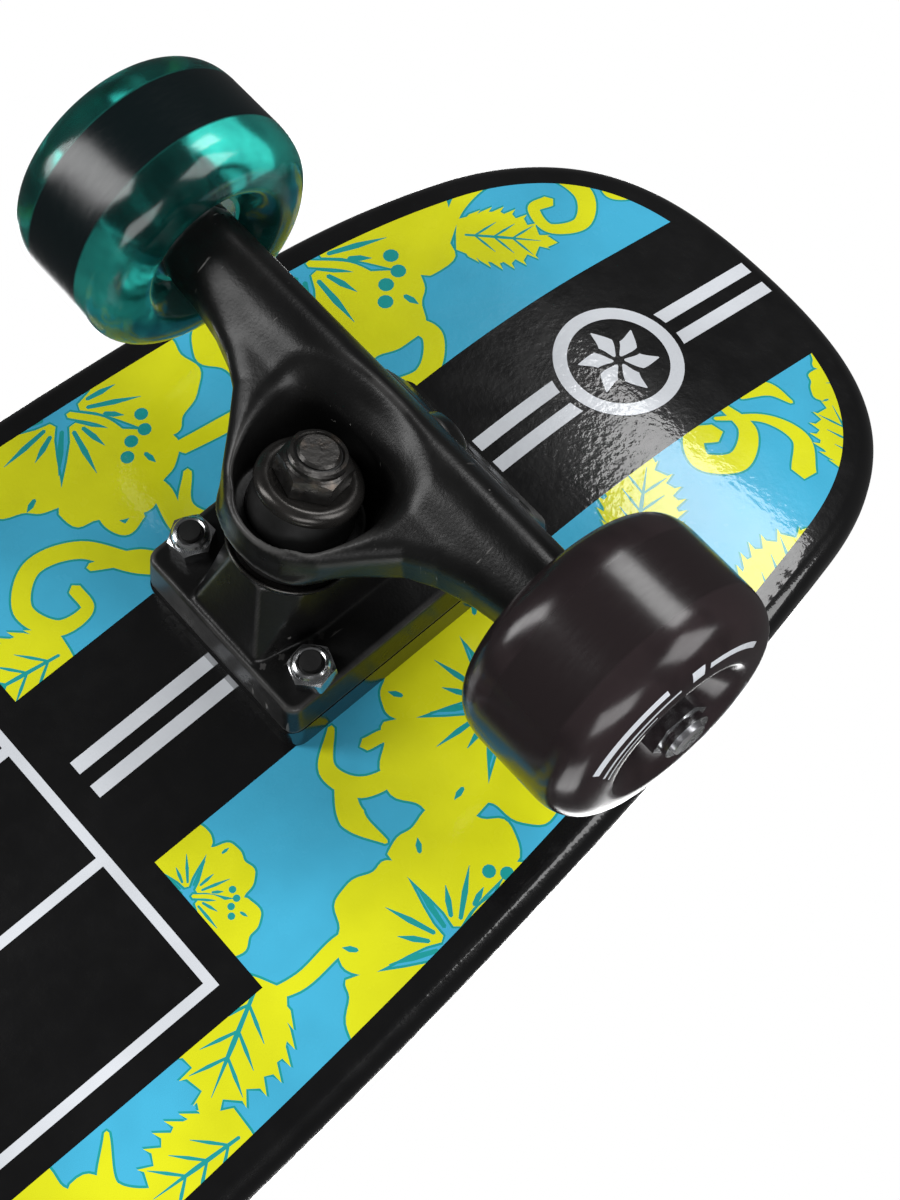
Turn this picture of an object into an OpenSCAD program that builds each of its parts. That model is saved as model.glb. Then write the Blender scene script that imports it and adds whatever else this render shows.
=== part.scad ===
// Cruiser skateboard: a kicked laminate deck on two traditional-kingpin trucks
// with four translucent urethane wheels.
// Millimetres. +Z up, +X towards the tail, origin on the ground under the
// middle of the deck. The wheels stand on z = 0.

/* [Deck] */
// Overall length, nose tip to tail tip
deck_length = 710; // [640:1:800]
// Width at the widest point
deck_width = 190; // [180:1:215]
// Thickness of the laminate
deck_thickness = 11; // [9:0.5:13]
// Rise of the rails above the flat centre
concave_rise = 4.5; // [2:0.5:8]
// Half-width of the flat strip down the middle
flat_half_width = 28; // [27:1:40]
// Angle of the upturned nose and tail
kick_angle = 18.5; // [8:0.5:24]
// Bend radius of the upturned ends, measured on the underside
kick_radius = 190; // [120:5:260]
// Tail length from the inner truck bolts to the tip
tail_overhang = 161.5; // [140:0.5:190]
// Nose length from the inner truck bolts to the tip
nose_overhang = 186.5; // [150:0.5:210]
// Thickness of the grip tape
grip_thickness = 0.8; // [0.5:0.1:1.5]

/* [Wheels] */
// Diameter of each wheel
wheel_diameter = 60; // [56:1:64]
// Overall width of each wheel
wheel_width = 37; // [34:1:42]
// Width of the flat tread
tread_width = 18; // [14:1:24]
// Distance between the centres of the two wheels of a truck
wheel_track = 146; // [140:1:170]

/* [Trucks] */
// Riser pad thickness
riser_thickness = 8; // [3:0.5:12]
// Baseplate flange thickness
flange_thickness = 10.5; // [6:0.5:12]
// Height from the deck's underside to the axle centre
axle_drop = 55; // [52:0.5:62]
// Distance from the inner bolt row to the axle, along the deck
axle_setback = 39.3; // [38:0.1:41]
// Lean of the kingpin towards the end of the deck
kingpin_lean = 22; // [18:1:24]
// Radius of the axle tube cast into the hanger
hanger_tube_r = 9; // [8:0.5:10]
// Mounting bolt spacing along the deck
bolt_spacing_x = 53.98; // [53.98]
// Mounting bolt spacing across the deck
bolt_spacing_y = 41.28; // [41.28]

/* [Hidden] */
$fn = 64;
slip = 0.02;

// Levels and stations of the whole board
deck_z = wheel_diameter / 2 + axle_drop;
tail_tip = deck_length / 2;
nose_tip = -deck_length / 2;
tail_bolts_x = tail_tip - tail_overhang;
nose_bolts_x = nose_tip + nose_overhang;
kick_offset = 66;
tail_kick_x = tail_bolts_x + kick_offset;
nose_kick_x = nose_bolts_x - kick_offset;
half_width = deck_width / 2;
section_half = half_width + 2;
rail_reference = 90;
kick_run = 160;
// The straight end runs a little way into the bend, just inside its skins
joint_step = 0.02;
joint_overlap = 2;

// Kingpin stack, measured along the kingpin from its seat on the baseplate
lean_x = sin(kingpin_lean);
lean_z = cos(kingpin_lean);
kingpin_r = 4.76;
kingpin_end = 33;
kingpin_head_at = -20;
kingpin_seat = [11.6, 0, 32.7];
lower_bushing_from = 1.5;
ring_from = 9;
ring_to = 13;
rim_to = 16;
upper_washer_from = 22.6;
nut_from = 24.4;
nut_to = 31.4;
ring_r = 17;
rim_inner_r = 14;
ring_bore_r = 7.6;
ring_centre = kingpin_seat + [lean_x, 0, lean_z] * (ring_from + ring_to) / 2;

// Pivot ball of the hanger, in the cup of the baseplate
pivot_ball = [50.8, 0, 29];
pivot_ball_r = 4.8;
pivot_tilt = 45;
cup_r = 6;
boss_wall = 1.8;
steer_tilt = atan2(ring_centre[2] - pivot_ball[2], pivot_ball[0] - ring_centre[0]);
socket_depth = 6.2;

// Axle stack, measured from the deck's centre line
axle_r = 4;
hanger_half = 60;
washer_t = 1;
bearing_w = 7;
bearing_r = 11;
spacer_len = 10;
hub_in = hanger_half + washer_t;
hub_out = hub_in + 2 * bearing_w + spacer_len;
wheel_y = wheel_track / 2;
ball_r = 1.98;
ball_ring_r = 7.5;
ball_count = 7;

bolt_r = 2.4;
bolt_hole_r = 2.6;
bolt_tip = 25.5;
head_r = 4.6;

// Outline of the deck: cubic curves from the widest point to each tip
function mix3(p, t) = pow(1 - t, 3) * p[0] + 3 * pow(1 - t, 2) * t * p[1]
    + 3 * (1 - t) * t * t * p[2] + pow(t, 3) * p[3];
function curve(p, n) = [for (i = [0 : n - 1]) mix3(p, i / n)];
function rail_points(inset) = let (w = half_width - inset, e = tail_tip - inset, b = nose_tip + inset)
    concat(
        curve([[e, 0], [e, w * 0.33], [e - 6.5, w * 0.618], [e - 47.5, w * 0.723]], 22),
        curve([[e - 47.5, w * 0.723], [e - 123.6, w * 0.918], [e - 235, w], [10, w]], 16),
        curve([[10, w], [-110, w], [b + 145, w * 0.99], [b + 66, w * 0.82]], 16),
        curve([[b + 66, w * 0.82], [b + 22, w * 0.7], [b, w * 0.4], [b, 0]], 22),
        [[b, 0]]
    );
function mirrored(points) = [for (i = [len(points) - 2 : -1 : 1]) [points[i][0], -points[i][1]]];

module deck_outline(inset) {
    side = rail_points(inset);
    polygon(concat(side, mirrored(side)));
}

// Cross-section of the pressed deck: a flat centre with circular rails
bend_r = pow(rail_reference - flat_half_width, 2) / (2 * concave_rise);
function lift(y) = abs(y) <= flat_half_width ? 0
    : bend_r - sqrt(bend_r * bend_r - pow(abs(y) - flat_half_width, 2));
bend_steps = 7;
function side_ys() = [for (i = [0 : bend_steps])
    flat_half_width + (section_half - flat_half_width) * i / bend_steps];
function across() = concat([for (i = [bend_steps : -1 : 0]) -side_ys()[i]], side_ys());
function section(low, high) = concat(
    [for (y = across()) [y, low + lift(y)]],
    [for (i = [len(across()) - 1 : -1 : 0]) [across()[i], high + lift(across()[i])]]);

module flat_run(low, high, from_x, to_x) {
    translate([from_x, 0, 0])
        rotate([90, 0, 90])
            linear_extrude(to_x - from_x)
                polygon(section(low, high));
}

module kick(low, high) {
    translate([0, 0, kick_radius])
        rotate([90, 0, 0])
            rotate([0, 0, -90])
                rotate_extrude(angle = kick_angle, $fn = 180)
                    polygon([for (p = section(low, high)) [kick_radius - p[1], p[0]]]);
    translate([kick_radius * sin(kick_angle), 0, kick_radius * (1 - cos(kick_angle))])
        rotate([0, -kick_angle, 0])
            flat_run(low + joint_step, high - joint_step, -joint_overlap, kick_run);
}

module pressed_sheet(low, high, inset) {
    intersection() {
        translate([0, 0, deck_z]) {
            flat_run(low, high, nose_kick_x, tail_kick_x);
            translate([tail_kick_x, 0, 0])
                kick(low, high);
            translate([nose_kick_x, 0, 0])
                mirror([1, 0, 0])
                    kick(low, high);
        }
        translate([0, 0, deck_z - 20])
            linear_extrude(120)
                deck_outline(inset);
    }
}

// Truck frame: x towards the end of the deck from the inner bolt row,
// z down from the deck's underside
module at_tail() {
    translate([tail_bolts_x, 0, deck_z])
        rotate([180, 0, 0])
            children();
}

module at_nose() {
    translate([nose_bolts_x, 0, deck_z])
        rotate([0, 0, 180])
            rotate([180, 0, 0])
                children();
}

module at_bolts() {
    for (x = [0, bolt_spacing_x], y = [-bolt_spacing_y / 2, bolt_spacing_y / 2])
        translate([x, y, 0])
            children();
}

module on_kingpin(s) {
    translate(kingpin_seat + [lean_x, 0, lean_z] * s)
        rotate([0, kingpin_lean, 0])
            children();
}

module on_axle(y) {
    translate([axle_setback, y, axle_drop])
        rotate([-90, 0, 0])
            children();
}

module hexagon(across_flats, height) {
    cylinder(r = across_flats / sqrt(3), h = height, $fn = 6);
}

// Deck and grip tape
module bolt_holes_through_deck() {
    for (station = [tail_bolts_x, nose_bolts_x - bolt_spacing_x])
        translate([station, 0, deck_z])
            at_bolts() {
                translate([0, 0, -2])
                    cylinder(r = bolt_hole_r, h = deck_thickness + 6);
                translate([0, 0, deck_thickness + grip_thickness - 2.6])
                    cylinder(r1 = bolt_hole_r, r2 = head_r + 0.2, h = 2.6);
                translate([0, 0, deck_thickness + grip_thickness - slip])
                    cylinder(r = head_r + 0.2, h = 3);
            }
}

module deck() {
    color([0.09, 0.09, 0.09])
        difference() {
            pressed_sheet(0, deck_thickness, 0);
            bolt_holes_through_deck();
        }
}

module grip_tape() {
    color([0.14, 0.14, 0.15])
        difference() {
            pressed_sheet(deck_thickness, deck_thickness + grip_thickness, 0.6);
            bolt_holes_through_deck();
        }
}

// Truck pieces, all in the truck frame
riser_from_x = -12.3;
riser_to_x = 65.8;
riser_half = 26;
corner_r = 4.5;

module rounded_plate(x0, x1, half, r) {
    hull()
        for (x = [x0 + r, x1 - r], y = [-half + r, half - r])
            translate([x, y])
                circle(r = r, $fn = 32);
}

module riser_pad() {
    color([0.03, 0.03, 0.03])
        difference() {
            linear_extrude(riser_thickness)
                difference() {
                    rounded_plate(riser_from_x, riser_to_x, riser_half, corner_r);
                    rounded_plate(17, 36, 9, 4);
                }
            at_bolts()
                translate([0, 0, -1])
                    cylinder(r = bolt_hole_r, h = riser_thickness + 2);
        }
}

flange_top = riser_thickness + flange_thickness;

module flange() {
    hull() {
        translate([0, 0, riser_thickness])
            linear_extrude(1)
                rounded_plate(riser_from_x + 0.6, riser_to_x - 0.8, riser_half, corner_r);
        translate([0, 0, flange_top - 0.5])
            linear_extrude(0.5)
                rounded_plate(-10.1, 60.8, 26.2, 2.6);
    }
}

module kingpin_boss() {
    hull() {
        translate([0, 0, flange_top - 1])
            linear_extrude(1)
                polygon([[-9.3, -11], [-9.3, 11], [8, 14.6], [30, 15], [40, 10], [40, -10], [30, -15], [8, -14.6]]);
        on_kingpin(-1)
            linear_extrude(1)
                polygon([[-12.4, -4.8], [-12.4, 4.8], [-5, 11.5], [6, 12.5], [12, 6], [12, -6], [6, -12.5], [-5, -11.5]]);
    }
}

module on_pivot(t) {
    translate(pivot_ball)
        rotate([0, pivot_tilt - 90, 0])
            translate([0, 0, t])
                children();
}

module pivot_boss() {
    hull() {
        translate([0, 0, flange_top - 1])
            linear_extrude(1)
                polygon([[36, -13], [36, 13], [59.5, 10], [59.5, -10]]);
        on_pivot(-socket_depth)
            cylinder(r = cup_r + boss_wall, h = socket_depth + 1, $fn = 32);
    }
}

module baseplate() {
    color([0.05, 0.05, 0.055])
        difference() {
            union() {
                flange();
                kingpin_boss();
                pivot_boss();
            }
            at_bolts()
                translate([0, 0, riser_thickness - 1])
                    cylinder(r = bolt_hole_r, h = 40);
            on_kingpin(-40)
                cylinder(r = kingpin_r + 0.1, h = 50);
            on_kingpin(-44)
                hexagon(15.4, 44 + kingpin_head_at + 6.1);
            on_pivot(-socket_depth + 1)
                cylinder(r = cup_r, h = 20);
            on_kingpin(0)
                cylinder(r = ring_r + 1.5, h = 30);
        }
}

function socket_wall(r) = [for (i = [0 : 16]) let (a = 90 * i / 16) [r * sin(a), -r * cos(a)]];

module pivot_cup() {
    color([0.04, 0.04, 0.04])
        on_pivot(0)
            rotate_extrude()
                polygon(concat(
                    socket_wall(pivot_ball_r + 0.06),
                    [[pivot_ball_r + 1.1, 1.6], [cup_r, 1.6], [cup_r, 1 - socket_depth], [0, 1 - socket_depth]]
                ));
}

module kingpin() {
    color([0.22, 0.2, 0.18])
        union() {
            on_kingpin(0)
                rotate_extrude()
                    polygon([
                        [0, kingpin_head_at + 5], [kingpin_r, kingpin_head_at + 5],
                        [kingpin_r, kingpin_end - 0.6], [kingpin_r - 0.6, kingpin_end], [0, kingpin_end]
                    ]);
            on_kingpin(kingpin_head_at)
                hexagon(14.3, 6);
        }
}

module cup_washer(r, up) {
    wall = 1.4;
    lip = 2.6;
    rotate_extrude()
        polygon([
            [kingpin_r + 0.25, 0], [r - 1.5, 0], [r, up * 1.4], [r, up * lip],
            [r - wall, up * lip], [r - wall, up * wall], [kingpin_r + 0.25, up * wall]
        ]);
}

module lower_cup_washer() {
    color([0.09, 0.09, 0.09])
        on_kingpin(0)
            cup_washer(14, 1);
}

module upper_cup_washer() {
    color([0.1, 0.1, 0.1])
        on_kingpin(nut_from)
            cup_washer(12, -1);
}

module lower_bushing() {
    color([0.03, 0.03, 0.03])
        on_kingpin(0)
            rotate_extrude()
                polygon([
                    [kingpin_r + 0.3, lower_bushing_from], [12, lower_bushing_from],
                    [12.4, 4.6], [11.6, ring_from], [kingpin_r + 0.3, ring_from]
                ]);
}

module upper_bushing() {
    color([0.03, 0.03, 0.03])
        on_kingpin(0)
            rotate_extrude()
                polygon([
                    [kingpin_r + 0.3, ring_to], [12.6, ring_to], [12.4, 17],
                    [9.7, upper_washer_from + 0.3], [kingpin_r + 0.3, upper_washer_from + 0.3]
                ]);
}

module kingpin_nut() {
    color([0.2, 0.17, 0.14])
        on_kingpin(nut_from)
            difference() {
                union() {
                    hexagon(14.3, 4.6);
                    cylinder(r = 6.6, h = nut_to - nut_from);
                }
                translate([0, 0, -1])
                    cylinder(r = kingpin_r + slip, h = 20);
            }
}

// Hanger: axle tube, bushing ring and web with a deep pocket round the kingpin nut
web_half = 34;
pocket_half = 21;

module hanger_web() {
    hull() {
        on_axle(-web_half)
            cylinder(r = hanger_tube_r - 0.2, h = 2 * web_half, $fn = 32);
        on_kingpin(ring_from)
            cylinder(r = ring_r, h = rim_to - ring_from, $fn = 48);
    }
    for (side = [0, 1])
        mirror([0, side, 0])
            hull() {
                on_axle(web_half - 1)
                    cylinder(r = hanger_tube_r - 0.2, h = 18, $fn = 32);
                translate([axle_setback - 7.5, web_half - 1.5, axle_drop - 4.5])
                    sphere(r = 7, $fn = 24);
            }
}

module pivot_stem() {
    hull() {
        on_axle(-9)
            cylinder(r = hanger_tube_r - 2, h = 18, $fn = 32);
        on_pivot(6)
            cylinder(r = pivot_ball_r - 0.2, h = 2, $fn = 32);
    }
    translate(pivot_ball)
        rotate([0, steer_tilt - 90, 0])
            cylinder(r = pivot_ball_r - 0.7, h = 12);
    translate(pivot_ball)
        sphere(r = pivot_ball_r);
}

module nut_pocket() {
    hull() {
        on_kingpin(ring_to)
            cylinder(r = rim_inner_r - 0.6, h = 0.5, $fn = 48);
        translate([0, 0, axle_drop + 12])
            linear_extrude(1)
                polygon([
                    [-2, -11], [-2, 11], [8, 17], [28, pocket_half], [36, pocket_half - 1],
                    [40, 12], [41, 0], [40, -12], [36, 1 - pocket_half], [28, -pocket_half], [8, -17]
                ]);
    }
}

module hanger() {
    color([0.05, 0.05, 0.055])
        difference() {
            union() {
                on_axle(-hanger_half + 1.5)
                    cylinder(r = hanger_tube_r, h = 2 * hanger_half - 3);
                on_axle(-hanger_half)
                    cylinder(r = hanger_tube_r - 1.2, h = 2 * hanger_half);
                hanger_web();
                pivot_stem();
            }
            nut_pocket();
            on_kingpin(0)
                cylinder(r = ring_bore_r, h = 30);
            on_kingpin(-10)
                cylinder(r = ring_r + 4, h = 10 + ring_from - 0.01);
            on_axle(-hanger_half - 1)
                cylinder(r = axle_r + slip, h = 2 * hanger_half + 2);
        }
}

module axle() {
    color([0.7, 0.7, 0.72])
        on_axle(-hub_out - 9.5)
            cylinder(r = axle_r, h = 2 * hub_out + 19);
}

module both_ends() {
    for (side = [0, 1])
        mirror([0, side, 0])
            children();
}

module axle_nuts() {
    color([0.75, 0.75, 0.77])
        both_ends()
            on_axle(hub_out + washer_t)
                difference() {
                    union() {
                        hexagon(12.7, 5.6);
                        cylinder(r = 5.7, h = 7.6);
                    }
                    translate([0, 0, -1])
                        cylinder(r = axle_r + slip, h = 10);
                }
}

module ring(r_in, r_out, h) {
    difference() {
        cylinder(r = r_out, h = h);
        translate([0, 0, -1])
            cylinder(r = r_in, h = h + 2);
    }
}

module speed_washers() {
    color([0.7, 0.7, 0.72])
        both_ends()
            for (y = [hanger_half, hub_out])
                on_axle(y)
                    ring(axle_r + 0.1, 5.6, washer_t);
}

module mounting_bolts() {
    top = -deck_thickness - grip_thickness;
    color([0.12, 0.12, 0.12])
        at_bolts()
            difference() {
                union() {
                    translate([0, 0, top + 2])
                        cylinder(r = bolt_r, h = bolt_tip - top - 2);
                    translate([0, 0, top])
                        cylinder(r1 = head_r, r2 = bolt_r, h = 2.4);
                }
                for (turn = [0, 90])
                    rotate([0, 0, turn])
                        translate([-2.3, -0.5, top - 1])
                            cube([4.6, 1, 2.4]);
            }
}

module lock_nuts() {
    color([0.8, 0.8, 0.82])
        at_bolts()
            translate([0, 0, flange_top])
                difference() {
                    union() {
                        hexagon(9.53, 4.3);
                        cylinder(r = 4.35, h = 6.1);
                    }
                    translate([0, 0, -1])
                        cylinder(r = bolt_r + slip, h = 10);
                }
}

// Wheel pieces, centred on the wheel with the axle along z
lip_w = (wheel_width - tread_width) / 2;
lip_drop = 12.8;
hub_half = spacer_len / 2 + bearing_w;
function lip(sign) = [for (i = [0 : 12]) let (a = 90 * (sign > 0 ? i : 12 - i) / 12)
    [wheel_diameter / 2 - lip_drop + lip_drop * cos(a), sign * (tread_width / 2 + lip_w * sin(a))]];

module wheel() {
    rotate_extrude($fn = 128)
        polygon(concat(
            lip(1),
            [[14.2, wheel_width / 2 - 2.2], [12.6, hub_half + 0.6], [12.2, hub_half], [bearing_r, hub_half],
             [bearing_r, spacer_len / 2], [8, spacer_len / 2], [8, -spacer_len / 2],
             [bearing_r, -spacer_len / 2], [bearing_r, -hub_half], [12.2, -hub_half],
             [12.6, -hub_half - 0.6], [14.2, 2.2 - wheel_width / 2]],
            lip(-1)
        ));
}

module both_bearings() {
    for (side = [-1, 1])
        translate([0, 0, side * (spacer_len + bearing_w) / 2])
            children();
}

module race(r_in, r_out) {
    rotate_extrude()
        difference() {
            translate([r_in, -bearing_w / 2])
                square([r_out - r_in, bearing_w]);
            translate([ball_ring_r, 0])
                circle(r = ball_r + 0.06, $fn = 48);
        }
}

module outer_races() {
    both_bearings()
        race(9, bearing_r);
}

module inner_races() {
    both_bearings()
        race(axle_r + slip, 6.1);
}

module balls() {
    both_bearings()
        for (i = [0 : ball_count - 1])
            rotate([0, 0, 360 * i / ball_count])
                translate([ball_ring_r, 0, 0])
                    sphere(r = ball_r, $fn = 24);
}

module cages() {
    both_bearings()
        translate([0, 0, 2.1])
            ring(6.9, 8.3, 0.6);
}

module shields() {
    both_bearings()
        for (z = [-3.3, 2.9])
            translate([0, 0, z])
                ring(6.4, 9, 0.4);
}

module spacer() {
    translate([0, 0, -spacer_len / 2])
        ring(axle_r + 0.05, 5, spacer_len);
}

teal = [0.1, 0.6, 0.55];
smoke = [0.16, 0.12, 0.13];
steel = [0.72, 0.72, 0.74];
black = [0.05, 0.05, 0.05];

// Left is the -Y side of the board, seen by a rider who faces the nose
module tail_left() {
    at_tail()
        on_axle(wheel_y)
            children();
}

module tail_right() {
    at_tail()
        on_axle(-wheel_y)
            children();
}

module nose_left() {
    at_nose()
        on_axle(-wheel_y)
            children();
}

module nose_right() {
    at_nose()
        on_axle(wheel_y)
            children();
}

deck();
grip_tape();

at_tail() riser_pad();  // tail_riser_pad
at_tail() baseplate();  // tail_baseplate
at_tail() pivot_cup();  // tail_pivot_cup
at_tail() kingpin();  // tail_kingpin
at_tail() lower_cup_washer();  // tail_lower_cup_washer
at_tail() lower_bushing();  // tail_lower_bushing
at_tail() upper_bushing();  // tail_upper_bushing
at_tail() upper_cup_washer();  // tail_upper_cup_washer
at_tail() kingpin_nut();  // tail_kingpin_nut
at_tail() hanger();  // tail_hanger
at_tail() axle();  // tail_axle
at_tail() axle_nuts();  // tail_axle_nuts
at_tail() speed_washers();  // tail_speed_washers
at_tail() mounting_bolts();  // tail_mounting_bolts
at_tail() lock_nuts();  // tail_lock_nuts

at_nose() riser_pad();  // nose_riser_pad
at_nose() baseplate();  // nose_baseplate
at_nose() pivot_cup();  // nose_pivot_cup
at_nose() kingpin();  // nose_kingpin
at_nose() lower_cup_washer();  // nose_lower_cup_washer
at_nose() lower_bushing();  // nose_lower_bushing
at_nose() upper_bushing();  // nose_upper_bushing
at_nose() upper_cup_washer();  // nose_upper_cup_washer
at_nose() kingpin_nut();  // nose_kingpin_nut
at_nose() hanger();  // nose_hanger
at_nose() axle();  // nose_axle
at_nose() axle_nuts();  // nose_axle_nuts
at_nose() speed_washers();  // nose_speed_washers
at_nose() mounting_bolts();  // nose_mounting_bolts
at_nose() lock_nuts();  // nose_lock_nuts

color(teal) tail_left() wheel();  // tail_left_wheel
color(steel) tail_left() outer_races();  // tail_left_outer_races
color(steel) tail_left() inner_races();  // tail_left_inner_races
color(steel) tail_left() balls();  // tail_left_balls
color(black) tail_left() cages();  // tail_left_cages
color(black) tail_left() shields();  // tail_left_shields
color(steel) tail_left() spacer();  // tail_left_spacer

color(smoke) tail_right() wheel();  // tail_right_wheel
color(steel) tail_right() outer_races();  // tail_right_outer_races
color(steel) tail_right() inner_races();  // tail_right_inner_races
color(steel) tail_right() balls();  // tail_right_balls
color(black) tail_right() cages();  // tail_right_cages
color(black) tail_right() shields();  // tail_right_shields
color(steel) tail_right() spacer();  // tail_right_spacer

color(teal) nose_left() wheel();  // nose_left_wheel
color(steel) nose_left() outer_races();  // nose_left_outer_races
color(steel) nose_left() inner_races();  // nose_left_inner_races
color(steel) nose_left() balls();  // nose_left_balls
color(black) nose_left() cages();  // nose_left_cages
color(black) nose_left() shields();  // nose_left_shields
color(steel) nose_left() spacer();  // nose_left_spacer

color(smoke) nose_right() wheel();  // nose_right_wheel
color(steel) nose_right() outer_races();  // nose_right_outer_races
color(steel) nose_right() inner_races();  // nose_right_inner_races
color(steel) nose_right() balls();  // nose_right_balls
color(black) nose_right() cages();  // nose_right_cages
color(black) nose_right() shields();  // nose_right_shields
color(steel) nose_right() spacer();  // nose_right_spacer
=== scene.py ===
import math

import bmesh
import bpy
import numpy as np
from mathutils import Matrix, Vector, geometry


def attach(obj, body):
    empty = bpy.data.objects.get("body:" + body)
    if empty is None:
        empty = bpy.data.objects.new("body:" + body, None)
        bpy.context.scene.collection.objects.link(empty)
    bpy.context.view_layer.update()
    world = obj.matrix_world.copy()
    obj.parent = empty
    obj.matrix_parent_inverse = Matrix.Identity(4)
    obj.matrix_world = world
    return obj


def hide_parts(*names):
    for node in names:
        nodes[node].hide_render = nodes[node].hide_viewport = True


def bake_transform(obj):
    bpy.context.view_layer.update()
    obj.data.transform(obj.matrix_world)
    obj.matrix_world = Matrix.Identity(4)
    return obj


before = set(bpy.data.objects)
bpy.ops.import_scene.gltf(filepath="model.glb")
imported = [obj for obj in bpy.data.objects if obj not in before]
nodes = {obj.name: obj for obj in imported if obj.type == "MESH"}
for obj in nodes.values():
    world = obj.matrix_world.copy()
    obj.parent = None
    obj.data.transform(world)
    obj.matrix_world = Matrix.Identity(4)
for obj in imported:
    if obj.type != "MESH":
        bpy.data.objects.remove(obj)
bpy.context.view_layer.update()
MM = 0.001
scene = bpy.context.scene

# ------ sizes, in millimetres, as in the CAD
DECK_Z = 85.0
DECK_T = 11.0
GRIP_T = 0.8
HALF_L = 355.0
HALF_W = 95.0
TAIL_X = 193.5
NOSE_X = -168.5
KICK_OFFSET = 66.0
KICK_R = 190.0
KICK_A = math.radians(18.5)
FLAT_HALF = 28.0
BEND_R = (90.0 - FLAT_HALF) ** 2 / (2 * 4.5)
KINGPIN_LEAN = math.radians(22.0)
KINGPIN_SEAT = (11.6, 0.0, 32.7)
AXLE_X = 39.3
AXLE_H = 55.0
WHEEL_R = 30.0
WHEEL_W = 37.0
TREAD_W = 16.4
LIP_DROP = 11.8
WHEEL_Y = 73.0
HUB_HALF = 12.0
FLANGE_TOP = 18.5
BOLT_X = 53.98
BOLT_Y = 20.64
NUT_SEAT = 24.4
EMBLEM_X = 110.0
RIM_R = 4.2
PRINT_PROUD = 0.12


# ------ materials
def set_inputs(node, **values):
    for key, value in values.items():
        node.inputs[key.replace("_", " ")].default_value = value
    return node


def add_node(tree, kind, **values):
    """A shader node with some of its inputs set."""
    return set_inputs(tree.nodes.new("ShaderNode" + kind), **values)


class Shade:
    """A material's node tree, built in a few words."""

    def __init__(self, name):
        self.mat = bpy.data.materials.new(name)
        self.mat.use_nodes = True
        self.tree = self.mat.node_tree
        self.bsdf = self.tree.nodes["Principled BSDF"]
        self.coord = add_node(self.tree, "TexCoord").outputs["Object"]

    def set(self, **values):
        set_inputs(self.bsdf, **values)

    def link(self, a, b):
        self.tree.links.new(a, b)

    def feed(self, socket, value):
        """A number or a colour goes on the socket, and an output is linked to it."""
        if isinstance(value, (int, float)):
            socket.default_value = value
        elif isinstance(value, tuple):
            socket.default_value = (*value, 1)
        else:
            self.link(value, socket)

    def noise(self, scale, detail=2.0, rough=0.5, stretch=None):
        node = add_node(self.tree, "TexNoise", Scale=scale, Detail=detail, Roughness=rough)
        place = self.coord
        if stretch:
            mapping = add_node(self.tree, "Mapping", Scale=stretch)
            self.link(place, mapping.inputs["Vector"])
            place = mapping.outputs["Vector"]
        self.link(place, node.inputs["Vector"])
        return node.outputs["Fac"]

    def cells(self, scale):
        node = add_node(self.tree, "TexVoronoi", Scale=scale)
        self.link(self.coord, node.inputs["Vector"])
        return node.outputs["Distance"]

    def ramp(self, fac, low, high, a=0.0, b=1.0):
        node = add_node(self.tree, "MapRange", From_Min=low, From_Max=high, To_Min=a, To_Max=b)
        self.link(fac, node.inputs["Value"])
        return node.outputs["Result"]

    def math(self, op, a, b):
        node = add_node(self.tree, "Math")
        node.operation = op
        self.feed(node.inputs[0], a)
        self.feed(node.inputs[1], b)
        return node.outputs[0]

    def mix(self, fac, a, b):
        """Two colours mixed. Sockets 6 and 7 are the colour ones."""
        node = add_node(self.tree, "Mix")
        node.data_type = "RGBA"
        for socket, value in ((0, fac), (6, a), (7, b)):
            self.feed(node.inputs[socket], value)
        return node.outputs[2]

    def bump(self, height, strength, distance):
        node = add_node(self.tree, "Bump", Strength=strength, Distance=distance)
        self.link(height, node.inputs["Height"])
        self.link(node.outputs["Normal"], self.bsdf.inputs["Normal"])
        return node.outputs["Normal"]

    def axis(self, which):
        """One coordinate of the point being shaded, in metres."""
        node = add_node(self.tree, "SeparateXYZ")
        self.link(self.coord, node.inputs[0])
        return node.outputs[which]

    def color(self, value):
        self.link(value, self.bsdf.inputs["Base Color"])

    def rough(self, value):
        self.link(value, self.bsdf.inputs["Roughness"])


def srgb(r, g, b):
    """Linear colour from 0-255 display values."""
    return tuple(
        c / 12.92 if c <= 0.04045 else ((c + 0.055) / 1.055) ** 2.4
        for c in (r / 255, g / 255, b / 255)
    )


def lacquer(name, rgb):
    """Printed laminate under gloss varnish with a little orange peel."""
    s = Shade(name)
    tone = s.noise(35, 3)
    dark = tuple(c * 0.9 for c in rgb)
    light = tuple(min(1, c * 1.06 + 0.001) for c in rgb)
    s.color(s.mix(s.ramp(tone, 0.35, 0.65), dark, light))
    s.rough(s.ramp(s.noise(160, 3), 0.3, 0.7, 0.2, 0.3))
    peel = s.noise(620, 2, 0.55)
    fine = s.bump(peel, 0.22, 0.00022)
    s.link(fine, s.bsdf.inputs["Coat Normal"])
    s.set(Coat_Weight=1.0, Coat_Roughness=0.06, Coat_IOR=1.45, Specular_IOR_Level=0.2)
    return s.mat


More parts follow.
